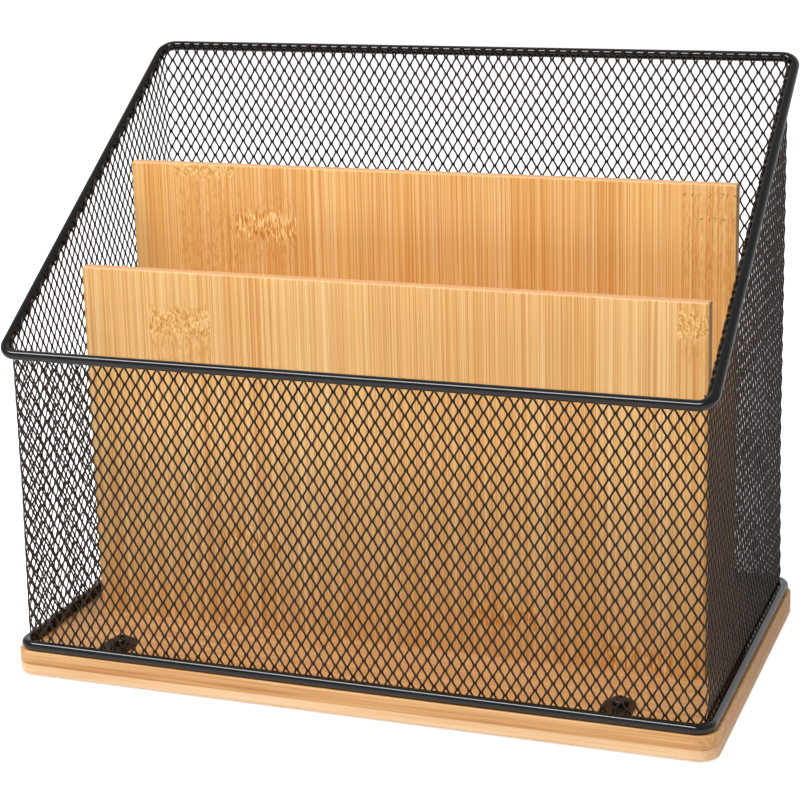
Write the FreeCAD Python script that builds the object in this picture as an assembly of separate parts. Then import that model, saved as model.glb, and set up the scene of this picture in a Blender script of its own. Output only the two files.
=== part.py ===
import FreeCAD, Part
import math
import os

# Envelope sorter: a basket of expanded metal between two loops of round wire, screwed to a
# bamboo board that carries two upright bamboo dividers.
# +X is to the right, +Y to the back, +Z up. The origin is on the desk, under the middle of the board.

Vector = FreeCAD.Vector
os.makedirs("parts", exist_ok=True)

# Loops of rim wire. Both are rounded rectangles, and their sizes are outside sizes seen from above.
wire_diameter = 4.5
lower_loop_width = 316.5
upper_loop_overhang = 0.0          # of the upper loop past the lower one, at each side
loop_depth = 178.0
loop_corner_radius = 6.5           # at the middle of the wire
front_rim_height = 137.0           # board to the middle of the wire
back_rim_height = 250.5            # board to the middle of the wire

# Board under the basket
board_end_margin = 1.25            # from the outside of the lower loop to each end of the board
board_side_margin = 0.0            # the same at the front and the back
board_thickness = 11.0
board_corner_radius = 9.0
board_edge_round = 0.8

# Pads under the board
pad_diameter = 12.0
pad_thickness = 1.0
pad_inset = 16.75                  # from both edges of the board to the middle of the pad

# Upright dividers, which leave a pocket in front, one between them and one behind
divider_side_gap = 8.95            # from each end of a divider to the basket
front_pocket_depth = 49.5
rear_pocket_depth = 56.9
divider_thickness = 6.0
divider_edge_round = 1.0
front_divider_height = 165.0
rear_divider_height = 204.0

# Expanded metal of the basket, drawn as nets with diamonds over three times as wide as the real ones
mesh_thickness = 1.2
net_cell_width = 18.0
net_cell_height = 27.0
net_strand_width = 3.0
net_border = 2.5
net_foot_border = 3.0              # below the lowest row of gaps
net_smallest_gap = 25.0            # square mm: a gap cut off by the border to less than this is left out
bend_slot_width = 3.6              # slots in the bends, in place of the gaps there
bend_slot_height = 18.0
bend_slot_bridge = 4.0             # between two slots, and at least to the edges of a bend
weld_gap = 0.1                     # between the sheet and the wire that it is welded to

# Tabs that hold the lower loop down
tab_width = 13.5
tab_thickness = 1.2
tab_side_inset = 38.75             # from the inner side of the side wire to the screw
tab_reach = 15.5                   # from the inner side of the wire to the screw
tab_clearance = 0.3                # between the tab and the lower edge of the basket

# Pan-head screws of the tabs
tab_screw_diameter = 3.0
tab_screw_length = 8.0
tab_screw_head_diameter = 7.5
tab_screw_head_height = 2.4
tab_screw_head_round = 1.2

# Countersunk screws of the dividers, driven from below
divider_screw_diameter = 3.0
divider_screw_length = 25.0
divider_screw_head_diameter = 6.5
divider_screw_head_height = 1.8
divider_screw_sink = 0.3           # of the head below the underside of the board
divider_screw_inset = 43.5         # from each end of a divider

# Cross recess and holes of all screws
recess_width = 0.8
recess_reach = 1.7
recess_depth = 1.1
hole_clearance = 0.1               # all round a screw
hole_extra_depth = 1.0             # of a hole past the tip of its screw
cut_overrun = 1.0                  # of a cutter past the face where it enters

# Heights and half sizes that several pieces share
wire_radius = wire_diameter / 2
upper_loop_width = lower_loop_width + 2 * upper_loop_overhang
board_bottom = pad_thickness
board_top = board_bottom + board_thickness
board_width = lower_loop_width + 2 * board_end_margin
board_depth = loop_depth + 2 * board_side_margin
bar_half_depth = loop_depth / 2 - wire_radius
wall_half_width = lower_loop_width / 2 - wire_diameter - weld_gap
wall_half_depth = loop_depth / 2 - wire_diameter - weld_gap
wall_corner_radius = loop_corner_radius - wire_radius - weld_gap
mesh_bottom = board_top + tab_thickness + tab_clearance
divider_half_width = wall_half_width - mesh_thickness - divider_side_gap
front_divider_y = front_pocket_depth + divider_thickness / 2 + mesh_thickness - wall_half_depth
rear_divider_y = wall_half_depth - mesh_thickness - rear_pocket_depth - divider_thickness / 2
front_rim_z = board_top + front_rim_height
back_rim_z = board_top + back_rim_height
rim_slope = (back_rim_z - front_rim_z) / (2 * bar_half_depth)


def rim_z(y):
    """Height of the inclined plane that holds the middle of the upper loop."""
    return front_rim_z + (y + bar_half_depth) * rim_slope


def save(name, shape):
    """Write one sub-part, under its own name."""
    if not shape.isValid():
        raise ValueError("invalid shape: " + name)
    shape.exportStep(os.path.join("parts", name + ".step"))
    print(name, "solids", len(shape.Solids), "volume", round(shape.Volume, 1))


def rounded_loop(width, depth, radius):
    """Closed path in the XY plane: a rectangle with round corners."""
    right = width / 2
    back = depth / 2
    corners = []
    for side_x, side_y in [(-1, -1), (1, -1), (1, 1), (-1, 1)]:
        corners.append(Vector(side_x * (right - radius), side_y * (back - radius), 0))
    edges = []
    for index, centre in enumerate(corners):
        start_angle = 180 + index * 90
        arc_points = []
        for angle in (start_angle, start_angle + 45, start_angle + 90):
            turn = math.radians(angle)
            arc_points.append(centre + Vector(math.cos(turn), math.sin(turn), 0) * radius)
        edges.append(Part.Arc(*arc_points).toShape())
        next_centre = corners[(index + 1) % len(corners)]
        turn = math.radians(start_angle + 90)
        next_start = next_centre + Vector(math.cos(turn), math.sin(turn), 0) * radius
        edges.append(Part.LineSegment(arc_points[-1], next_start).toShape())
    return Part.Wire(edges)


def wire_along(path):
    """Round wire along a closed path whose first straight run is its second edge."""
    run = path.Edges[1]
    start = run.valueAt((run.FirstParameter + run.LastParameter) / 2)
    direction = run.tangentAt(run.FirstParameter)
    ordered = Part.Wire([Part.LineSegment(start, run.lastVertex().Point).toShape()]
                        + path.Edges[2:] + path.Edges[:1]
                        + [Part.LineSegment(run.firstVertex().Point, start).toShape()])
    profile = Part.Wire([Part.makeCircle(wire_radius, start, direction)])
    return ordered.makePipeShell([profile], True, True)


def lower_rim_wire():
    """Lower loop, flat on the board."""
    path = rounded_loop(lower_loop_width - wire_diameter, loop_depth - wire_diameter, loop_corner_radius)
    path.translate(Vector(0, 0, board_top + wire_radius))
    return wire_along(path)


def upper_rim_wire():
    """Upper loop, bent flat and welded on at the slope of the side walls."""
    slope_angle = math.degrees(math.atan(rim_slope))
    sloped_depth = 2 * bar_half_depth / math.cos(math.radians(slope_angle))
    path = rounded_loop(upper_loop_width - wire_diameter, sloped_depth, loop_corner_radius)
    path.rotate(Vector(0, 0, 0), Vector(1, 0, 0), slope_angle)
    path.translate(Vector(0, 0, rim_z(0)))
    return wire_along(path)


def within_border(outline, points):
    """What is left of a convex gap inside the border of a convex outline, both listed anticlockwise."""
    for start, end in zip(outline, outline[1:] + outline[:1]):
        along = (end[0] - start[0], end[1] - start[1])
        length = math.hypot(*along)
        kept = []
        for here, after in zip(points, points[1:] + points[:1]):
            room_here, room_after = [
                (along[0] * (point[1] - start[1]) - along[1] * (point[0] - start[0])) / length - net_border
                for point in (here, after)]
            if room_here >= 0:
                kept.append(here)
            if room_here * room_after < 0:
                share = room_here / (room_here - room_after)
                kept.append((here[0] + share * (after[0] - here[0]), here[1] + share * (after[1] - here[1])))
        points = kept
    return points


def area(points):
    """Area of a polygon listed anticlockwise."""
    pairs = zip(points, points[1:] + points[:1])
    return sum(here[0] * after[1] - after[0] * here[1] for here, after in pairs) / 2


def net(outline, to_space, inward):
    """Flat sheet with diamond gaps: the outline is in the wall's own plane, listed anticlockwise."""
    def closed(points):
        return Part.makePolygon([to_space(*point) for point in points + points[:1]])

    low = min(point[0] for point in outline), min(point[1] for point in outline)
    high = max(point[0] for point in outline), max(point[1] for point in outline)
    middle = (low[0] + high[0]) / 2
    strand_share = net_strand_width * math.hypot(1 / net_cell_width, 1 / net_cell_height)
    gap_half_width = net_cell_width / 2 * (1 - strand_share)
    gap_half_height = net_cell_height / 2 * (1 - strand_share)
    columns = math.ceil((high[0] - low[0]) / net_cell_width)
    rows = math.ceil(2 * (high[1] - low[1]) / net_cell_height)
    gaps = []
    for row in range(rows):
        centre_v = low[1] + net_foot_border + gap_half_height + row * net_cell_height / 2
        for column in range(-columns, columns + 1):
            centre_u = middle + (column + row % 2 / 2) * net_cell_width
            tips = [(centre_u, centre_v - gap_half_height), (centre_u + gap_half_width, centre_v),
                    (centre_u, centre_v + gap_half_height), (centre_u - gap_half_width, centre_v)]
            gap = within_border(outline, tips)
            if area(gap) > net_smallest_gap:
                gaps.append(closed(gap))
    face = Part.Face([closed(outline)] + gaps)
    face.validate()
    print("gaps", len(gaps))
    return face.extrude(inward * mesh_thickness)


def cross_wall(side, top):
    """Front (-1) or back (1) wall of the basket, between its bends."""
    reach = wall_half_width - wall_corner_radius
    outline = [(-reach, mesh_bottom), (reach, mesh_bottom), (reach, top), (-reach, top)]
    return net(outline, lambda u, v: Vector(u, side * wall_half_depth, v), Vector(0, -side, 0))


def side_wall(side):
    """Left (-1) or right (1) wall, with its top along the slope of the upper loop."""
    reach = wall_half_depth - wall_corner_radius
    outline = [(-reach, mesh_bottom), (reach, mesh_bottom), (reach, rim_z(reach)), (-reach, rim_z(-reach))]
    return net(outline, lambda u, v: Vector(side * wall_half_width, u, v), Vector(-side, 0, 0))


def mesh_corner(side_x, side_y):
    """Bend of the sheet between two walls, cut off along the plane of the upper loop."""
    centre = Vector(side_x * (wall_half_width - wall_corner_radius),
                    side_y * (wall_half_depth - wall_corner_radius), mesh_bottom)
    height = back_rim_z + wire_diameter - mesh_bottom
    outer = Part.makeCylinder(wall_corner_radius, height, centre)
    inner = Part.makeCylinder(wall_corner_radius - mesh_thickness, height, centre)
    near_y = side_y * (wall_half_depth - wall_corner_radius)
    far_y = side_y * wall_half_depth
    far_x = centre.x + side_x * wall_corner_radius
    section = [(near_y, mesh_bottom), (far_y, mesh_bottom), (far_y, rim_z(far_y)), (near_y, rim_z(near_y))]
    outline = Part.makePolygon([Vector(centre.x, y, z) for y, z in section + section[:1]])
    quarter = Part.Face(outline).extrude(Vector(far_x - centre.x, 0, 0))
    bend = outer.cut(inner).common(quarter).Solids[0]
    room = min(rim_z(near_y), rim_z(far_y)) - mesh_bottom - 2 * bend_slot_bridge
    pitch = bend_slot_height + bend_slot_bridge
    slots = []
    for number in range(int((room + bend_slot_bridge) / pitch)):
        slot = Part.makeBox(wall_corner_radius, bend_slot_width, bend_slot_height,
                            Vector(1, -bend_slot_width / 2, bend_slot_bridge + number * pitch))
        slot.rotate(Vector(0, 0, 0), Vector(0, 0, 1), math.degrees(math.atan2(side_y, side_x)))
        slot.translate(centre)
        slots.append(slot)
    return bend.cut(slots)


def round_corners(shape, radius):
    """Round the four upright corners of a box."""
    upright = [edge for edge in shape.Edges if edge.BoundBox.ZLength > edge.BoundBox.DiagonalLength / 2]
    return shape.makeFillet(radius, upright)


def tab_screw_places():
    """Places of the tab screws, from front left round to back left."""
    row = loop_depth / 2 - wire_diameter - tab_reach
    half = lower_loop_width / 2 - wire_diameter - tab_side_inset
    return [(-half, -row), (half, -row), (half, row), (-half, row)]


def divider_screw_places(divider_y):
    """Places of the two screws under one divider."""
    half = divider_half_width - divider_screw_inset
    return [(-half, divider_y), (half, divider_y)]


def all_divider_screw_places():
    return divider_screw_places(front_divider_y) + divider_screw_places(rear_divider_y)


def divider_screw_hole(place):
    """Hole through the board and up into a divider, with its countersink below."""
    radius = divider_screw_diameter / 2 + hole_clearance
    head_radius = divider_screw_head_diameter / 2 + hole_clearance
    depth = divider_screw_sink + divider_screw_length + hole_extra_depth
    below = Vector(place[0], place[1], board_bottom - cut_overrun)
    shank = Part.makeCylinder(radius, cut_overrun + depth, below)
    mouth = Part.makeCylinder(head_radius, cut_overrun + divider_screw_sink, below)
    sink = Part.makeCone(head_radius, radius, divider_screw_head_height,
                         Vector(place[0], place[1], board_bottom + divider_screw_sink))
    return shank.fuse([mouth, sink])


def base_board():
    """Bamboo board with round corners and softened edges, drilled for all screws."""
    corner = Vector(-board_width / 2, -board_depth / 2, board_bottom)
    blank = Part.makeBox(board_width, board_depth, board_thickness, corner)
    board = round_corners(blank, board_corner_radius)
    flat_edges = [edge for edge in board.Edges if edge.BoundBox.ZLength < board_thickness / 2]
    board = board.makeFillet(min(board_edge_round, board_thickness / 3), flat_edges)
    holes = [divider_screw_hole(place) for place in all_divider_screw_places()]
    for place in tab_screw_places():
        depth = tab_screw_length - tab_thickness + hole_extra_depth
        holes.append(Part.makeCylinder(tab_screw_diameter / 2 + hole_clearance, depth + cut_overrun,
                                       Vector(place[0], place[1], board_top - depth)))
    return board.cut(holes)


def divider(middle_y, height):
    """Upright bamboo board with softened edges, drilled from below."""
    corner = Vector(-divider_half_width, middle_y - divider_thickness / 2, board_top)
    board = Part.makeBox(2 * divider_half_width, divider_thickness, height, corner)
    free_edges = [edge for edge in board.Edges if edge.BoundBox.ZMax > board_top + height / 4]
    board = board.makeFillet(min(divider_edge_round, divider_thickness / 4), free_edges)
    return board.cut([divider_screw_hole(place) for place in divider_screw_places(middle_y)])


def mounting_tab(place):
    """Sheet tab from the lower loop to its screw, with a half-round end."""
    side = math.copysign(1, place[1])
    wire_y = side * (loop_depth / 2 - wire_diameter)
    low_y = min(place[1], wire_y)
    strap = Part.makeBox(tab_width, abs(wire_y - place[1]), tab_thickness,
                         Vector(place[0] - tab_width / 2, low_y, board_top))
    end = Part.makeCylinder(tab_width / 2, tab_thickness, Vector(place[0], place[1], board_top))
    hole = Part.makeCylinder(tab_screw_diameter / 2 + hole_clearance, tab_thickness + 2 * cut_overrun,
                             Vector(place[0], place[1], board_top - cut_overrun))
    return strap.fuse(end).removeSplitter().cut(hole)


def cross_recess(place, face_z, into):
    """Cutter for the cross in a screw's head: into is 1 for a cut that goes up, -1 for one that goes down."""
    bars = []
    for length, width in [(2 * recess_reach, recess_width), (recess_width, 2 * recess_reach)]:
        low_z = min(face_z - into * cut_overrun, face_z + into * recess_depth)
        corner = Vector(place[0] - length / 2, place[1] - width / 2, low_z)
        bars.append(Part.makeBox(length, width, cut_overrun + recess_depth, corner))
    return bars[0].fuse(bars[1])


def turned(points, place):
    """Solid of revolution about an upright axis, from points given as radius and height."""
    outline = Part.makePolygon([Vector(radius, 0, height) for radius, height in points + points[:1]])
    solid = Part.Face(outline).revolve(Vector(0, 0, 0), Vector(0, 0, 1), 360)
    solid.translate(Vector(place[0], place[1], 0))
    return solid


def tab_screw(place):
    """Pan-head wood screw that holds a tab down."""
    seat = board_top + tab_thickness
    head_foot = Vector(place[0], place[1], seat)
    head = Part.makeCylinder(tab_screw_head_diameter / 2, tab_screw_head_height, head_foot)
    top_edge = [edge for edge in head.Edges if edge.BoundBox.ZMin > seat + tab_screw_head_height / 2]
    head = head.makeFillet(min(tab_screw_head_round, tab_screw_head_height / 2), top_edge)
    radius = tab_screw_diameter / 2
    shank = turned([(0, seat), (radius, seat), (radius, seat - tab_screw_length + tab_screw_diameter),
                    (0, seat - tab_screw_length)], place)
    return head.fuse(shank).cut(cross_recess(place, seat + tab_screw_head_height, -1))


def divider_screw(place):
    """Countersunk wood screw from under the board into a divider."""
    foot = board_bottom + divider_screw_sink
    radius = divider_screw_diameter / 2
    head_radius = divider_screw_head_diameter / 2
    tip = foot + divider_screw_length
    body = turned([(0, foot), (head_radius, foot), (radius, foot + divider_screw_head_height),
                   (radius, tip - divider_screw_diameter), (0, tip)], place)
    return body.cut(cross_recess(place, foot, 1))


def pad(side_x, side_y):
    """Round pad under one corner of the board."""
    place = Vector(side_x * (board_width / 2 - pad_inset), side_y * (board_depth / 2 - pad_inset), 0)
    return Part.makeCylinder(pad_diameter / 2, pad_thickness, place)


sides_x = {"left": -1, "right": 1}
sides_y = {"front": -1, "rear": 1}

save("base_board", base_board())
save("front_divider", divider(front_divider_y, front_divider_height))
save("rear_divider", divider(rear_divider_y, rear_divider_height))
save("lower_rim_wire", lower_rim_wire())
save("upper_rim_wire", upper_rim_wire())
save("mesh_front", cross_wall(-1, front_rim_z))
save("mesh_rear", cross_wall(1, back_rim_z))
save("mesh_left", side_wall(-1))
save("mesh_right", side_wall(1))
for name_y, side_y in sides_y.items():
    for name_x, side_x in sides_x.items():
        save("mesh_corner_" + name_y + "_" + name_x, mesh_corner(side_x, side_y))
        save("pad_" + name_y + "_" + name_x, pad(side_x, side_y))
tab_names = ["front_left", "front_right", "rear_right", "rear_left"]
for name, place in zip(tab_names, tab_screw_places()):
    save("mounting_tab_" + name, mounting_tab(place))
save("tab_screws", Part.makeCompound([tab_screw(place) for place in tab_screw_places()]))
save("divider_screws", Part.makeCompound([divider_screw(place) for place in all_divider_screw_places()]))
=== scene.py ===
import math

import bpy
import numpy as np
from mathutils import Matrix, Vector


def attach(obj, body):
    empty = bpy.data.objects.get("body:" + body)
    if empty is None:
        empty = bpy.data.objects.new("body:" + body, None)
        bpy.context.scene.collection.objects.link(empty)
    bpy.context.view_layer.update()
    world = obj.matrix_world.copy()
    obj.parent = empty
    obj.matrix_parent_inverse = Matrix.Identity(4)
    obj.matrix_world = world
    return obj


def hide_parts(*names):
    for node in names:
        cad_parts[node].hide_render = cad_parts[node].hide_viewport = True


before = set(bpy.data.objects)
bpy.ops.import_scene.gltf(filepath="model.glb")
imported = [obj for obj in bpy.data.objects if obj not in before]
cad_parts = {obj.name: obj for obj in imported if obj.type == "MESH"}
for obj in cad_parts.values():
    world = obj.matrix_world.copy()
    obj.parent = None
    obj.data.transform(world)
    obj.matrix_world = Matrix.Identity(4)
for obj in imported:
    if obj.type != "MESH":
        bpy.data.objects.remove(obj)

for start_up_thing in ("Cube", "Light", "Camera"):
    if start_up_thing in bpy.data.objects:
        bpy.data.objects.remove(bpy.data.objects[start_up_thing])
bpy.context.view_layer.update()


# ---------------------------------------------------------------- base board
# The floor of the sorter: an 11 mm board pressed from two layers of bamboo strips that run
# along its length, cut round at the corners, sanded and given a thin clear satin lacquer.
MM = 0.001


def linear(hex_colour):
    """An sRGB colour written as hex, as the linear numbers that a shader takes."""
    parts = [int(hex_colour[i:i + 2], 16) / 255 for i in (0, 2, 4)]
    parts = [p / 12.92 if p <= 0.04045 else ((p + 0.055) / 1.055) ** 2.4 for p in parts]
    return (*parts, 1.0)


def add(tree, kind, inputs=None, stops=(), **settings):
    """Adds a node. An input is a value, a socket or a node, whose first live output is taken."""
    node = tree.nodes.new("ShaderNode" + kind)
    for name, value in settings.items():
        setattr(node, name, value)
    for name, value in (inputs or {}).items():
        if isinstance(value, bpy.types.Node):
            value = next(output for output in value.outputs if output.enabled)
        if isinstance(value, bpy.types.NodeSocket):
            tree.links.new(value, node.inputs[name])
        else:
            node.inputs[name].default_value = value
    while len(stops) > 2 and len(node.color_ramp.elements) < len(stops):
        node.color_ramp.elements.new(0.5)
    for number, (position, hex_colour) in enumerate(stops):
        node.color_ramp.elements[number].position = position
        node.color_ramp.elements[number].color = linear(hex_colour)
    return node


def new_material(name, **sockets):
    """An empty Principled material with these values on the shader's own sockets."""
    made = bpy.data.materials.new(name)
    made.use_nodes = True
    shader = made.node_tree.nodes["Principled BSDF"]
    for socket, value in sockets.items():
        shader.inputs[socket.replace("_", " ")].default_value = value
    return made, made.node_tree, shader


def finish_node(node_name, material):
    """Gives a CAD node its finish and leaves its shape alone."""
    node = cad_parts[node_name]
    node.data.materials.clear()
    node.data.materials.append(material)


# Lacquered bamboo: a pale honey wood of straight fibres, satin, with the strips of each
# layer butted edge to edge. The two layers show along the edge, the lower one the paler,
# and the ends show some of the speckle of cut cane.
BOARD_STRIP = 21 * MM
BOARD_LAYER = 5.8 * MM
STRIP_TONE_SHARE = 0.22
LACQUER_ROUGHNESS = 0.42
COAT_IOR = 1.5
COARSE_SHARE = 0.4
CANE_PORE = 1.1 * MM
GROOVE_STRENGTH = 0.12
GROOVE_DEPTH = 0.1 * MM
# Repeats per metre: fibres 1.1 mm wide and 110 mm long, over bands of 4 mm by 70 mm.
FIBRE_SCALE = (9, 900, 900)
COARSE_SCALE = (14, 250, 250)
board_material, tree, shader = new_material(
    "lacquered_bamboo_board", Roughness=LACQUER_ROUGHNESS, IOR=COAT_IOR,
    Specular_IOR_Level=0.25)
place = add(tree, "TexCoord").outputs["Object"]
axes = add(tree, "SeparateXYZ", {0: place}).outputs
facing = add(tree, "SeparateXYZ", {0: add(tree, "NewGeometry").outputs["Normal"]}).outputs
strip_tone = add(tree, "TexWhiteNoise", {
    "W": add(tree, "Math", {0: axes["Y"], 1: BOARD_STRIP}, operation="SNAP")},
    noise_dimensions="1D")
fibre_space = add(tree, "Mapping", {"Vector": place, "Scale": FIBRE_SCALE})
fibres = add(tree, "TexNoise", {
    "Vector": fibre_space, "W": strip_tone, "Scale": 1.0, "Detail": 3.0, "Roughness": 0.6},
    noise_dimensions="4D")
coarse_space = add(tree, "Mapping", {"Vector": place, "Scale": COARSE_SCALE})
coarse = add(tree, "TexNoise", {"Vector": coarse_space, "Scale": 1.0, "Detail": 2.0})
grain = add(tree, "Mix", {
    0: COARSE_SHARE, 2: fibres.outputs["Fac"], 3: coarse.outputs["Fac"]})
top_face = add(tree, "ValToRGB", {"Fac": grain}, [
    (0.30, "b5763f"), (0.42, "d09257"), (0.52, "dfa86c"), (0.66, "ecbd84")])
upper_edge = add(tree, "ValToRGB", {"Fac": grain}, [
    (0.36, "b37c4c"), (0.45, "c6905b"), (0.54, "d09f6b"), (0.66, "d9ae7c")])
lower_edge = add(tree, "ValToRGB", {"Fac": grain}, [
    (0.34, "d6a978"), (0.46, "e2ba8e"), (0.66, "e9c8a2")])
layer_line = add(tree, "Math", {0: axes["Z"], 1: BOARD_LAYER}, operation="GREATER_THAN")
edge_wood = add(tree, "Mix", {0: layer_line, 6: lower_edge, 7: upper_edge}, data_type="RGBA")
cut_cane = add(tree, "TexNoise", {"Vector": place, "Scale": 1 / CANE_PORE, "Detail": 2.0})
end_grain = add(tree, "ValToRGB", {"Fac": cut_cane}, [
    (0.36, "c88a50"), (0.50, "e2a568"), (0.64, "ecb880")])
endways = add(tree, "Math", {0: facing["X"]}, operation="ABSOLUTE")
endways = add(tree, "MapRange", {"Value": endways, "From Min": 0.6, "From Max": 0.95,
                                 "To Max": 0.5})
edge_wood = add(tree, "Mix", {0: endways, 6: edge_wood, 7: end_grain}, data_type="RGBA")
upward = add(tree, "MapRange", {"Value": facing["Z"], "From Min": 0.5, "From Max": 0.9})
wood = add(tree, "Mix", {0: upward, 6: edge_wood, 7: top_face}, data_type="RGBA")
strip_shade = add(tree, "Mix", {0: strip_tone, 6: linear("c98f55"), 7: linear("f3cf9c")},
                  data_type="RGBA")
strip_share = add(tree, "MapRange", {"Value": facing["Z"], "To Max": STRIP_TONE_SHARE})
wood = add(tree, "Mix", {0: strip_share, 6: wood, 7: strip_shade}, data_type="RGBA")
tree.links.new(wood.outputs[2], shader.inputs["Base Color"])
grooves = add(tree, "Bump", {
    "Height": fibres, "Strength": GROOVE_STRENGTH, "Distance": GROOVE_DEPTH})
tree.links.new(grooves.outputs[0], shader.inputs["Normal"])
finish_node("base_board", board_material)


# ---------------------------------------------------------------- foot pads
# Four round soft pads of black rubber foam, glued under the corners of the board so that
# it does not slide or scratch. The foam is a dull black with fine pores and no shine.
PORE = 0.6 * MM
pad_material, tree, shader = new_material(
    "black_rubber_foam", Roughness=0.9, Specular_IOR_Level=0.2)
pores = add(tree, "TexNoise", {"Vector": add(tree, "TexCoord").outputs["Object"],
                               "Scale": 1 / PORE, "Detail": 2.0})
foam = add(tree, "ValToRGB", {"Fac": pores}, [(0.35, "151515"), (0.7, "2b2b2b")])
tree.links.new(foam.outputs[0], shader.inputs["Base Color"])
cells = add(tree, "Bump", {"Height": pores, "Strength": 0.4, "Distance": 0.2 * MM})
tree.links.new(cells.outputs[0], shader.inputs["Normal"])
for place_name in ("front_left", "front_right", "rear_left", "rear_right"):
    finish_node("pad_" + place_name, pad_material)


# ---------------------------------------------------------------- rim wires
# Two loops of 4.5 mm round steel wire, bent and butt welded. The lower one lies flat on the
# board and the upper one slopes from the low front to the high back. Both are powder coated.
RUBS_PER_METRE = 60.0


def powder_coat(name, black, roughness, level, grain_mm, grain_depth_mm):
    """Black powder coat: a hard plastic skin, semi-gloss, with a faint orange peel."""
    made, tree, shader = new_material(
        name, Roughness=roughness, IOR=COAT_IOR, Specular_IOR_Level=level)
    place = add(tree, "TexCoord").outputs["Object"]
    peel = add(tree, "TexNoise", {"Vector": place, "Scale": 1 / (grain_mm * MM),
                                  "Detail": 2.0, "Roughness": 0.5})
    rubbed = add(tree, "TexNoise", {"Vector": place, "Scale": RUBS_PER_METRE, "Detail": 3.0})
    shade = add(tree, "ValToRGB", {"Fac": rubbed}, [(0.3, black[0]), (0.7, black[1])])
    gloss = add(tree, "MapRange", {
        "Value": rubbed, "From Min": 0.3, "From Max": 0.7,
        "To Min": roughness * 0.85, "To Max": roughness * 1.2})
    skin = add(tree, "Bump", {"Height": peel, "Strength": 0.35,
                              "Distance": grain_depth_mm * MM})
    tree.links.new(shade.outputs[0], shader.inputs["Base Color"])
    tree.links.new(gloss.outputs[0], shader.inputs["Roughness"])
    tree.links.new(skin.outputs[0], shader.inputs["Normal"])
    return made


# On the thick wire the coat flows out smooth and shines in one sharp line.
wire_material = powder_coat("black_powder_coat_wire", ("070607", "0d0c0d"), roughness=0.13,
                            level=0.46, grain_mm=2.2, grain_depth_mm=0.04)
for wire in ("lower_rim_wire", "upper_rim_wire"):
    finish_node(wire, wire_material)


# ---------------------------------------------------------------- expanded metal walls
# The four walls are one strip of expanded steel mesh, slit and stretched to upright
# diamonds, wrapped round inside both wire loops and bent over the upper one, least in front.
# It is coated with the wires, and the coat rounds every strand.
WIRE_RADIUS = 2.25 * MM
MESH_THICK = 0.69 * MM
STRAND_WIDTH = 0.90 * MM
STRAND_EDGE_SHARE = 0.45
BOND_LENGTH = 1.1 * MM
STRAND_TILT = math.radians(-1)
ROW_PITCH = 7.8 * MM
FOOT_CUT = 12.3 * MM
FIRST_BOND = 9.9 * MM
HALF_WIDTH = 156.0 * MM
HALF_DEPTH = 86.75 * MM
CORNER = 6.5 * MM
LOWER_WIRE = 14.25 * MM
FRONT_RIM = 149.0 * MM
BACK_RIM = 262.5 * MM
LOOP_SLOPE = (BACK_RIM - FRONT_RIM) / (2 * HALF_DEPTH)
FOOT_BULGE = 1.1 * MM
DRAWN_IN = 8 * MM
BULGE_END = 85 * MM
HEM_SWELL = 0.9
HEM_HEIGHT = 4 * MM
SPARE_HEIGHT = 8 * MM
WELD_DISTANCE = 0.02 * MM
SMOOTH_ANGLE = math.radians(70)
FOLD_DEGREES = {"front": 22, "right": 42, "rear": 42, "left": 42}
FOLD_CUTS = (0, 0.35, 0.7, 1)

axis_gap = WIRE_RADIUS + MESH_THICK / 2
path_x = HALF_WIDTH - axis_gap
path_y = HALF_DEPTH - axis_gap
path_corner = CORNER - axis_gap
arc_length = math.pi / 2 * path_corner
long_side = 2 * (path_x - path_corner)
short_side = 2 * (path_y - path_corner)
girth = 2 * (long_side + short_side) + 4 * arc_length
COLUMNS = {"front": 59, "right": 32, "rear": 59, "left": 32}
column_pitch = girth / sum(COLUMNS.values())


def path_at(run):
    """Plan point, outward direction and heading of the strip's middle at a run round it."""
    run = np.mod(run - arc_length / 2, girth)
    point = np.zeros((len(run), 2))
    outward = np.zeros((len(run), 2))
    heading = np.zeros((len(run), 2))
    corner_x = path_x - path_corner
    corner_y = path_y - path_corner
    sides = [((-corner_x, -path_y), (1, 0), (0, -1), long_side),
             ((path_x, -corner_y), (0, 1), (1, 0), short_side),
             ((corner_x, path_y), (-1, 0), (0, 1), long_side),
             ((-path_x, corner_y), (0, -1), (-1, 0), short_side)]
    begin = 0.0
    for start, along, out, length in sides:
        start, along, out = np.array(start), np.array(along), np.array(out)
        here = (run >= begin) & (run < begin + length)
        step = (run[here] - begin)[:, None]
        point[here] = start + step * along
        outward[here] = out
        heading[here] = along
        begin += length
        here = (run >= begin) & (run <= begin + arc_length)
        turn = ((run[here] - begin) / path_corner)[:, None]
        outward[here] = out * np.cos(turn) + along * np.sin(turn)
        heading[here] = along * np.cos(turn) - out * np.sin(turn)
        point[here] = start + along * length - out * path_corner + outward[here] * path_corner
        begin += arc_length
    return point, outward, heading


def rim_height(point, outward):
    """Height of the upper wire's centre beside a point of the strip."""
    wire_y = point[:, 1] + axis_gap * outward[:, 1]
    return FRONT_RIM + (wire_y + HALF_DEPTH) * LOOP_SLOPE


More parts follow.
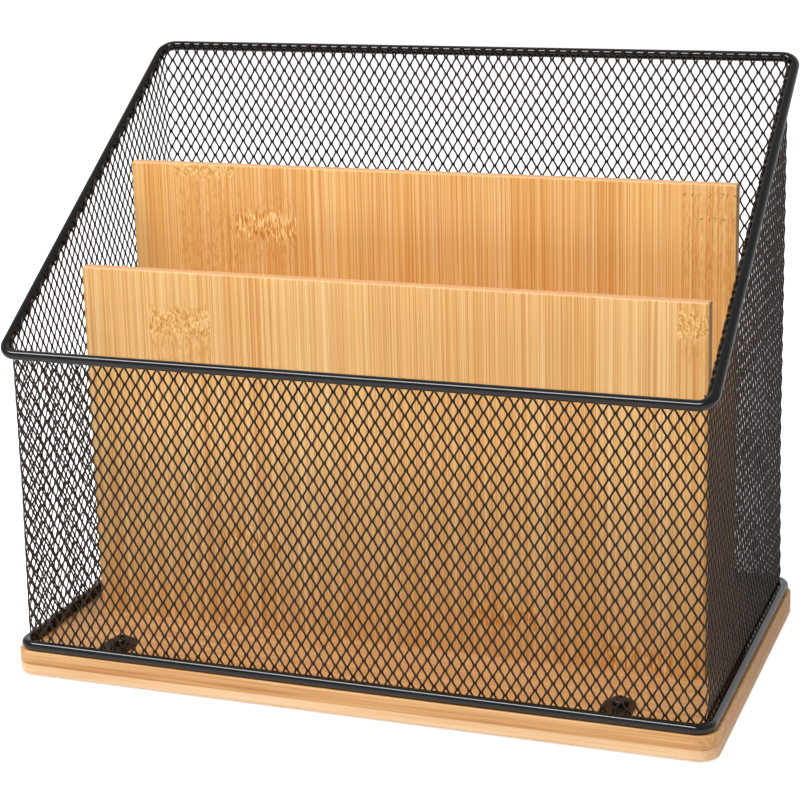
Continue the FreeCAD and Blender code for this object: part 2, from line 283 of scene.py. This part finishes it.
def wrap(places, run_start):
    """Wraps flat strip vertices (run, -outward, height) round the frame and over the rim.

    The sheet stands a little wider just above its foot, where the lower wire draws it in.
    """
    run = places[:, 0] + run_start
    height = places[:, 2]
    drawn_in = np.sin(np.clip((height - LOWER_WIRE) / DRAWN_IN, 0, 1) * math.pi / 2)
    fade = np.clip((BULGE_END - height) / (BULGE_END - LOWER_WIRE), 0, 1)
    out = -places[:, 1] + FOOT_BULGE * drawn_in * fade
    point, outward, heading = path_at(run)
    slope = np.arctan(heading[:, 1] * LOOP_SLOPE)
    above = (height - rim_height(point, outward)) * np.cos(slope)
    hem = np.clip((above + HEM_HEIGHT) / HEM_HEIGHT, 0, 1)
    out = out * (1 + HEM_SWELL * hem ** 2)
    over = np.clip(above, 0, None)
    foot, outward, heading = path_at(run + over * np.sin(slope))
    foot_height = np.where(above > 0, rim_height(foot, outward), height)
    fold = over / axis_gap
    rise = -np.sin(slope)[:, None] * heading
    reach = axis_gap - out
    plan = foot + outward * axis_gap
    plan = plan + reach[:, None] * (-outward * np.cos(fold)[:, None]
                                    + rise * np.sin(fold)[:, None])
    up = foot_height + reach * np.cos(slope) * np.sin(fold)
    return np.column_stack([plan, up])


def select_faces(mesh_object, wanted):
    """In edit mode, selects the faces whose centre and normal the test wants."""
    bpy.ops.object.mode_set(mode="OBJECT")
    for part in (mesh_object.data.vertices, mesh_object.data.edges):
        part.foreach_set("select", [False] * len(part))
    for face in mesh_object.data.polygons:
        face.select = wanted(face.center, face.normal)
    bpy.ops.object.mode_set(mode="EDIT")
    bpy.ops.mesh.select_mode(type="FACE")


def only(thing):
    """Selects one object alone and makes it the active one."""
    bpy.ops.object.select_all(action="DESELECT")
    thing.select_set(True)
    bpy.context.view_layer.objects.active = thing


# One knot of the mesh: the bond where two strands lie side by side, and the two strands
# that leave its top. The pull of the stretching press has turned it a little in the sheet.
bpy.ops.object.select_all(action="DESELECT")
bpy.ops.mesh.primitive_cube_add(size=1)
bond = bpy.context.active_object
bond.name = "mesh_bond"
bond.scale = (2 * STRAND_WIDTH, MESH_THICK, BOND_LENGTH)
bpy.ops.object.transform_apply(location=False, rotation=False, scale=True)
bpy.ops.object.mode_set(mode="EDIT")
bpy.ops.mesh.select_mode(type="EDGE")
bpy.ops.mesh.select_all(action="DESELECT")
bpy.ops.object.mode_set(mode="OBJECT")
for edge in bond.data.edges:
    ends = [bond.data.vertices[i].co for i in edge.vertices]
    edge.select = abs(ends[0].x - ends[1].x) > STRAND_WIDTH
bpy.ops.object.mode_set(mode="EDIT")
bpy.ops.mesh.subdivide(number_cuts=3)
bpy.ops.object.mode_set(mode="OBJECT")
for vertex in bond.data.vertices:
    if abs(abs(vertex.co.x) - STRAND_WIDTH / 2) > STRAND_WIDTH / 4:
        vertex.co.y *= STRAND_EDGE_SHARE
bond.rotation_euler = (0, 0, -STRAND_TILT)
bpy.ops.object.transform_apply(location=False, rotation=True, scale=False)
across = STRAND_WIDTH * math.cos(STRAND_TILT)
depth = STRAND_WIDTH * math.sin(STRAND_TILT)
climb = ROW_PITCH / 2 - BOND_LENGTH
for side in (1, -1):
    select_faces(bond, lambda c, n: n.z > 0.9 and c.x * side > 0 and c.z < BOND_LENGTH)
    bpy.ops.mesh.extrude_region_move(TRANSFORM_OT_translate={
        "value": (side * (column_pitch / 2 - across), side * depth, climb)})
select_faces(bond, lambda c, n: abs(n.z) > 0.9)
bpy.ops.mesh.delete(type="FACE")
bpy.ops.mesh.select_all(action="SELECT")
bpy.ops.mesh.normals_make_consistent(inside=False)
bpy.ops.object.mode_set(mode="OBJECT")

# On the thin strands the same coat looks duller, and its colour is a little brown: painted
# bounce light from the bamboo beside it.
mesh_coat_and_painted_bounce = powder_coat("black_powder_coat_mesh_and_painted_bounce", ("231913", "34261f"), roughness=0.3,
                            level=0.17, grain_mm=0.9, grain_depth_mm=0.03)
REPLACED = {
    "front": ("mesh_front", "mesh_corner_front_left", "mesh_corner_front_right"),
    "right": ("mesh_right",),
    "rear": ("mesh_rear", "mesh_corner_rear_left", "mesh_corner_rear_right"),
    "left": ("mesh_left",),
}
run_start = 0.0
for wall, columns in COLUMNS.items():
    sheet = bond.copy()
    sheet.data = bond.data.copy()
    sheet.name = "expanded_metal_" + wall
    bpy.context.scene.collection.objects.link(sheet)
    only(sheet)
    tall = FRONT_RIM if wall == "front" else BACK_RIM
    rows = math.ceil((tall + SPARE_HEIGHT - FIRST_BOND) / ROW_PITCH)
    for count, offset in ((2, (column_pitch / 2, 0, ROW_PITCH / 2)),
                          (rows, (0, 0, ROW_PITCH)), (columns, (column_pitch, 0, 0))):
        array = sheet.modifiers.new("Array", "ARRAY")
        array.use_relative_offset = False
        array.use_constant_offset = True
        array.constant_offset_displace = offset
        array.count = count
        bpy.ops.object.modifier_apply(modifier="Array")
    bpy.ops.object.mode_set(mode="EDIT")
    bpy.ops.mesh.select_all(action="SELECT")
    bpy.ops.mesh.remove_doubles(threshold=WELD_DISTANCE)
    bpy.ops.mesh.select_all(action="SELECT")
    bpy.ops.mesh.bisect(plane_co=(0, 0, FOOT_CUT - FIRST_BOND), plane_no=(0, 0, 1),
                        clear_inner=True)
    bpy.ops.object.mode_set(mode="OBJECT")
    flat = np.zeros(len(sheet.data.vertices) * 3)
    sheet.data.vertices.foreach_get("co", flat)
    flat = flat.reshape(-1, 3)
    flat[:, 2] += FIRST_BOND
    # The strip still stands straight up here: cut lines run along the slope of the rim, and
    # the strip is folded over the wire only after the last one.
    point, outward, heading = path_at(flat[:, 0] + run_start)
    slope = np.arctan(heading[:, 1] * LOOP_SLOPE)
    level = flat.copy()
    level[:, 2] = (flat[:, 2] - rim_height(point, outward)) * np.cos(slope)
    sheet.data.vertices.foreach_set("co", level.ravel())
    sheet.data.update()
    bpy.ops.object.mode_set(mode="EDIT")
    fold_length = math.radians(FOLD_DEGREES[wall]) * axis_gap
    for share in FOLD_CUTS:
        bpy.ops.mesh.select_all(action="SELECT")
        bpy.ops.mesh.bisect(plane_co=(0, 0, fold_length * share), plane_no=(0, 0, 1),
                            clear_outer=share == 1)
    bpy.ops.mesh.select_all(action="SELECT")
    bpy.ops.mesh.fill_holes(sides=0)
    bpy.ops.object.mode_set(mode="OBJECT")
    flat = np.zeros(len(sheet.data.vertices) * 3)
    sheet.data.vertices.foreach_get("co", flat)
    flat = flat.reshape(-1, 3)
    point, outward, heading = path_at(flat[:, 0] + run_start)
    slope = np.arctan(heading[:, 1] * LOOP_SLOPE)
    flat[:, 2] = flat[:, 2] / np.cos(slope) + rim_height(point, outward)
    sheet.data.vertices.foreach_set("co", wrap(flat, run_start).ravel())
    sheet.data.update()
    bpy.ops.object.shade_smooth_by_angle(angle=SMOOTH_ANGLE)
    sheet.data.materials.clear()
    sheet.data.materials.append(mesh_coat_and_painted_bounce)
    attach(sheet, "root")
    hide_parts(*REPLACED[wall])
    run_start += columns * column_pitch
bpy.data.objects.remove(bond)


# ---------------------------------------------------------------- tabs and their screws
# Four half-round ears of 1.2 mm steel, welded inside the lower loop and coated with it. On
# them the coat is satin, with a coarser skin. A pan-head screw, blackened and shinier, holds
# each down on the board.
tab_material = powder_coat("black_powder_coat_tab", ("100e0e", "191716"), roughness=0.35,
                           level=0.35, grain_mm=1.5, grain_depth_mm=0.1)
for place_name in ("front_left", "front_right", "rear_left", "rear_right"):
    finish_node("mounting_tab_" + place_name, tab_material)
screw_material = powder_coat("black_zinc_screw", ("0f0f10", "1a1a1b"), roughness=0.25,
                             level=0.5, grain_mm=0.8, grain_depth_mm=0.03)
finish_node("tab_screws", screw_material)


# ---------------------------------------------------------------- dividers
# Two upright 6 mm panels of bamboo, glued up from 30 mm strips with upright fibres, edges
# eased and lacquered. Where a strip crosses a joint of the cane it shows a band of kinks.
DIVIDER_STRIP = 30.2 * MM
STRIP_SPREAD = 40.0
PATCH_EDGE = 0.2 * MM
RAGGED_BY = 8 * MM
SPECKLE_FADE = 9 * MM
KNOT_FADE = 1.5 * MM
DOT_FADE = 0.4 * MM
# Repeats per metre: the ragged ends of a knot jump every 1.1 mm across.
JAG_SCALE = (900, 0, 60)


def bamboo_panel(name, first_joint, shades, knots, flame_knots, speckles, dots):
    """Bamboo with upright fibres; each mark lies in a patch (x from, x to, z from, z to)."""
    made, tree, shader = new_material(
        name, Roughness=LACQUER_ROUGHNESS, IOR=COAT_IOR, Specular_IOR_Level=0.35)
    place = add(tree, "TexCoord").outputs["Object"]
    axes = add(tree, "SeparateXYZ", {0: place}).outputs
    from_joint = add(tree, "Math", {0: axes["X"], 1: first_joint}, operation="SUBTRACT")
    strip = add(tree, "Math", {0: from_joint, 1: DIVIDER_STRIP}, operation="SNAP")
    tone = add(tree, "TexWhiteNoise", {"W": strip}, noise_dimensions="1D").outputs["Value"]
    own = add(tree, "Math", {0: tone, 1: STRIP_SPREAD}, operation="MULTIPLY")

    def streaks(width_mm, length_mm, detail, distortion=0.0):
        """Upright fibre streaks of one width and length, different in each strip."""
        space = add(tree, "Mapping", {"Vector": place, "Scale": (
            1 / (width_mm * MM), 1 / (4 * MM), 1 / (length_mm * MM))})
        return add(tree, "TexNoise", {
            "Vector": space, "W": own, "Scale": 1.0, "Detail": detail, "Roughness": 0.5,
            "Distortion": distortion}, noise_dimensions="4D").outputs["Fac"]

    def lay(under, hex_colour, share, value, low, high):
        """Lays a colour on the wood by a share that rises while a value goes low to high."""
        rise = add(tree, "MapRange", {"Value": value, "From Min": low, "From Max": high,
                                      "To Max": share}, interpolation_type="SMOOTHSTEP")
        return add(tree, "Mix", {0: rise, 6: under, 7: linear(hex_colour)},
                   data_type="RGBA")

    def patch_of(x_from, x_to, z_from, z_to, soft, height):
        """1 inside a patch of one strip, with an upper and lower end as soft as told."""
        part = 1.0
        for value, low, high in (
                (axes["X"], x_from - PATCH_EDGE, x_from + PATCH_EDGE),
                (axes["X"], x_to + PATCH_EDGE, x_to - PATCH_EDGE),
                (height, z_from - soft, z_from + soft), (height, z_to + soft, z_to - soft)):
            part = add(tree, "MapRange", {
                "Value": value, "From Min": low, "From Max": high, "To Max": part},
                interpolation_type="SMOOTHSTEP")
        return part

    wood = add(tree, "ValToRGB", {"Fac": streaks(7.0, 400.0, 1.0)}, [
        (0.30, "e8b168"), (0.50, "ebb973"), (0.70, "efc384")])
    wood = lay(wood, "e8b078", 0.24, streaks(2.6, 300.0, 1.0), 0.48, 0.60)
    lines = streaks(0.72, 260.0, 0.0)
    hairs = streaks(0.42, 140.0, 0.0)
    wood = lay(wood, "d18e3c", 0.36, lines, 0.53, 0.60)
    wood = lay(wood, "fae0ae", 0.32, lines, 0.45, 0.38)
    wood = lay(wood, "c98036", 0.72, hairs, 0.53, 0.59)
    strip_shade = add(tree, "Mix", {0: tone, 6: linear(shades[0]), 7: linear(shades[1])},
                      data_type="RGBA")
    wood = add(tree, "Mix", {0: STRIP_TONE_SHARE, 6: wood, 7: strip_shade},
               data_type="RGBA")

    jag_space = add(tree, "Mapping", {"Vector": place, "Scale": JAG_SCALE})
    jag = add(tree, "TexNoise", {"Vector": jag_space, "Scale": 1.0, "Detail": 2.0})
    wobble = add(tree, "MapRange", {"Value": jag, "To Min": -RAGGED_BY, "To Max": RAGGED_BY})
    ragged = add(tree, "Math", {0: axes["Z"], 1: wobble}, operation="ADD").outputs[0]
    dashes = streaks(0.58, 4.0, 1.0)
    squiggles = streaks(0.75, 1.9, 1.0, 0.9)
    flames = streaks(0.95, 5.0, 1.0, 0.9)
    for patch in speckles:
        zone = patch_of(*patch, SPECKLE_FADE, axes["Z"])
        marked = add(tree, "Mix", {0: 0.2, 6: wood, 7: linear("e6a95c")}, data_type="RGBA")
        marked = lay(marked, "c07830", 0.42, dashes, 0.52, 0.60)
        wood = add(tree, "Mix", {0: zone, 6: wood, 7: marked}, data_type="RGBA")
    for patch in knots:
        zone = patch_of(*patch, KNOT_FADE, ragged)
        marked = add(tree, "ValToRGB", {"Fac": squiggles}, [
            (0.36, "f3cc8e"), (0.47, "e9b56c"), (0.55, "dca057"), (0.64, "c88a44")])
        wood = add(tree, "Mix", {0: zone, 6: wood, 7: marked}, data_type="RGBA")
    for patch in flame_knots:
        zone = patch_of(*patch, KNOT_FADE, ragged)
        marked = add(tree, "ValToRGB", {"Fac": flames}, [
            (0.38, "f6d096"), (0.47, "edb96e"), (0.54, "dc9a4a"), (0.63, "c67b2f")])
        wood = add(tree, "Mix", {0: zone, 6: wood, 7: marked}, data_type="RGBA")
    for patch in dots:
        zone = patch_of(*patch, DOT_FADE, axes["Z"])
        marked = lay(wood, "8a5322", 0.65, streaks(0.8, 1.1, 0.0), 0.60, 0.68)
        wood = add(tree, "Mix", {0: zone, 6: wood, 7: marked}, data_type="RGBA")

    facing = add(tree, "SeparateXYZ", {0: add(tree, "NewGeometry").outputs["Normal"]}).outputs
    on_top = add(tree, "MapRange", {"Value": facing["Z"], "From Min": 0.35, "From Max": 0.8})
    # Faces turned sideways get a darker, greyer brown: partly the grain of the strips' edges,
    # partly painted shade.
    sideways = add(tree, "Math", {0: facing["X"]}, operation="ABSOLUTE")
    side_grain_and_shade_mask = add(tree, "MapRange", {"Value": sideways, "From Min": 0.4, "From Max": 0.8})
    pores = add(tree, "TexNoise", {"Vector": place, "Scale": 1 / (0.8 * MM)})
    top_wood = add(tree, "ValToRGB", {"Fac": pores}, [
        (0.35, "d09c6a"), (0.55, "e0aa7a"), (0.7, "e8b88c")])
    side_grain_and_painted_shade = add(tree, "ValToRGB", {"Fac": lines}, [
        (0.35, "a07a48"), (0.55, "bd915a"), (0.7, "caa26c")])
    wood = add(tree, "Mix", {0: on_top, 6: wood, 7: top_wood}, data_type="RGBA")
    wood = add(tree, "Mix", {0: side_grain_and_shade_mask, 6: wood, 7: side_grain_and_painted_shade}, data_type="RGBA")
    grooves = add(tree, "Bump", {
        "Height": lines, "Strength": GROOVE_STRENGTH, "Distance": GROOVE_DEPTH})
    tree.links.new(wood.outputs[2], shader.inputs["Base Color"])
    tree.links.new(grooves.outputs[0], shader.inputs["Normal"])
    return made


rear_panel = bamboo_panel(
    "lacquered_bamboo_rear_panel", first_joint=-121 * MM, shades=("d68c3a", "eaad57"),
    knots=[(-121 * MM, -91 * MM, 210 * MM, 217 * MM)],
    flame_knots=[(-91 * MM, -60.5 * MM, 182 * MM, 194.5 * MM)],
    speckles=[(-121 * MM, -91 * MM, 160 * MM, 207 * MM),
              (-91 * MM, -60.5 * MM, 170 * MM, 204 * MM),
              (120 * MM, 144 * MM, 166 * MM, 213 * MM)],
    dots=[(120 * MM, 144 * MM, 210 * MM, 212 * MM),
          (120 * MM, 144 * MM, 200 * MM, 201.5 * MM)])
front_panel = bamboo_panel(
    "lacquered_bamboo_front_panel", first_joint=-111 * MM, shades=("d99a52", "f6d59c"),
    knots=[(-111 * MM, -81 * MM, 148 * MM, 160 * MM),
           (130 * MM, 144 * MM, 161 * MM, 172 * MM)],
    flame_knots=[(-81 * MM, -51 * MM, 49 * MM, 61 * MM),
                 (39 * MM, 69 * MM, 26 * MM, 37 * MM),
                 (99 * MM, 129 * MM, 12 * MM, 23 * MM)],
    speckles=[(-111 * MM, -81 * MM, 130 * MM, 156 * MM),
              (130 * MM, 144 * MM, 150 * MM, 168 * MM)],
    dots=[])
finish_node("rear_divider", rear_panel)
finish_node("front_divider", front_panel)


# ---------------------------------------------------------------- divider screws
# Countersunk steel screws driven up through the board into the foot of each divider. Their
# zinc plate is a bright, slightly bluish metal with a faint haze. They show only from below.
HAZE_PER_METRE = 900.0
plated, tree, shader = new_material("bright_zinc_plate", Metallic=1.0, Roughness=0.3)
haze = add(tree, "TexNoise", {"Vector": add(tree, "TexCoord").outputs["Object"],
                              "Scale": HAZE_PER_METRE, "Detail": 2.0})
zinc = add(tree, "ValToRGB", {"Fac": haze}, [(0.3, "b9bcc0"), (0.7, "d8dadc")])
tree.links.new(zinc.outputs[0], shader.inputs["Base Color"])
finish_node("divider_screws", plated)


# ---------------------------------------------------------------- table and studio
# The sorter stands on a seamless white table before a white backdrop, in plain soft light
# from a long soft box above and in front of it, a little to the left. The room is dimmer.
# A weak fill lights the right wall and leaves no image of itself in the glossy wires.
white, tree, shader = new_material("white_table", Roughness=0.9, Specular_IOR_Level=0.0,
                                   Base_Color=linear("ededed"))
TABLE_SIZE = 12
TABLE_GLOW = 0.7
MIRRORED_SHARE = 0.3
rays = add(tree, "LightPath").outputs
mirrored = add(tree, "Math", {0: rays["Is Glossy Ray"], 1: rays["Is Transmission Ray"]},
               operation="MAXIMUM")
mirrored = add(tree, "MapRange", {"Value": mirrored, "To Max": MIRRORED_SHARE})
seen = add(tree, "Math", {0: rays["Is Camera Ray"], 1: mirrored}, operation="MAXIMUM")
glow = add(tree, "MapRange", {"Value": seen, "To Max": TABLE_GLOW})
tree.links.new(glow.outputs[0], shader.inputs["Emission Strength"])
shader.inputs["Emission Color"].default_value = (1, 1, 1, 1)
bpy.ops.object.select_all(action="DESELECT")
bpy.ops.mesh.primitive_plane_add(size=TABLE_SIZE)
table = bpy.context.active_object
table.name = "white_table"
table.data.materials.append(white)

world = bpy.data.worlds.new("white_walls")
bpy.context.scene.world = world
world.use_nodes = True
tree = world.node_tree
# The glossy wires mirror the backdrop in full and the rest of the room only faintly.
BACKDROP_FROM = 0.3
BACKDROP_FULL = 0.9
MIRRORED_ROOM = 0.12
rays = add(tree, "LightPath").outputs
aim = add(tree, "SeparateXYZ", {0: add(tree, "TexCoord").outputs["Generated"]}).outputs
backdrop = add(tree, "MapRange", {
    "Value": aim["Y"], "From Min": BACKDROP_FROM, "From Max": BACKDROP_FULL,
    "To Min": MIRRORED_ROOM, "To Max": 1.0})
mirrored = add(tree, "Math", {0: rays["Is Glossy Ray"], 1: rays["Is Transmission Ray"]},
               operation="MAXIMUM")
mirrored = add(tree, "MapRange", {"Value": mirrored, "To Max": backdrop})
seen = add(tree, "Math", {0: rays["Is Camera Ray"], 1: mirrored}, operation="MAXIMUM")
WALL_LIGHT = 0.35
strength = add(tree, "MapRange", {"Value": seen, "To Min": WALL_LIGHT, "To Max": 1.0})
background = tree.nodes["Background"]
background.inputs["Color"].default_value = (1, 1, 1, 1)
tree.links.new(strength.outputs["Result"], background.inputs["Strength"])


def soft_box(name, place, aim, width, height, watts):
    """A soft box: an area lamp at a place, turned to a point."""
    lamp = bpy.data.lights.new(name, "AREA")
    lamp.shape = "RECTANGLE"
    lamp.size = width
    lamp.size_y = height
    lamp.energy = watts
    holder = bpy.data.objects.new(name, lamp)
    bpy.context.scene.collection.objects.link(holder)
    holder.location = place
    holder.rotation_mode = "QUATERNION"
    holder.rotation_quaternion = (Vector(aim) - Vector(place)).to_track_quat("-Z", "Y")
    return holder


MIDDLE = (0, 0, 0.12)
soft_box("soft_box_front", (-0.6, -1.15, 1.8), MIDDLE, width=2.1, height=0.5, watts=54.5)
fill = soft_box("soft_box_right", (1.7, 0.1, 0.8), MIDDLE, width=0.8, height=0.8, watts=2.6)
fill.visible_glossy = False

# The camera stands where the photograph was taken from, as fitted to its straight edges.
SENSOR_WIDTH = 36.0
PICTURE_PIXELS = 800
FOCAL_PIXELS = 2134
SHIFT_UP = -0.1
CAMERA_PLACE = Vector((0.31753, -0.86705, 0.38097))
YAW_PITCH_ROLL = (20.306, 13.87, -1.405)
camera_data = bpy.data.cameras.new("camera")
camera = bpy.data.objects.new("camera", camera_data)
bpy.context.scene.collection.objects.link(camera)
camera_data.sensor_width = SENSOR_WIDTH
camera_data.lens = FOCAL_PIXELS * SENSOR_WIDTH / PICTURE_PIXELS
camera_data.shift_y = SHIFT_UP
yaw, pitch, roll = (math.radians(angle) for angle in YAW_PITCH_ROLL)
forward = Vector((-math.sin(yaw) * math.cos(pitch), math.cos(yaw) * math.cos(pitch),
                  -math.sin(pitch)))
level_right = Vector((math.cos(yaw), math.sin(yaw), 0))
level_up = level_right.cross(forward)
right = level_right * math.cos(roll) + level_up * math.sin(roll)
up = level_up * math.cos(roll) - level_right * math.sin(roll)
camera.matrix_world = Matrix(((right.x, up.x, -forward.x, CAMERA_PLACE.x),
                              (right.y, up.y, -forward.y, CAMERA_PLACE.y),
                              (right.z, up.z, -forward.z, CAMERA_PLACE.z), (0, 0, 0, 1)))
bpy.context.scene.camera = camera
bpy.context.scene.view_settings.view_transform = "Standard"
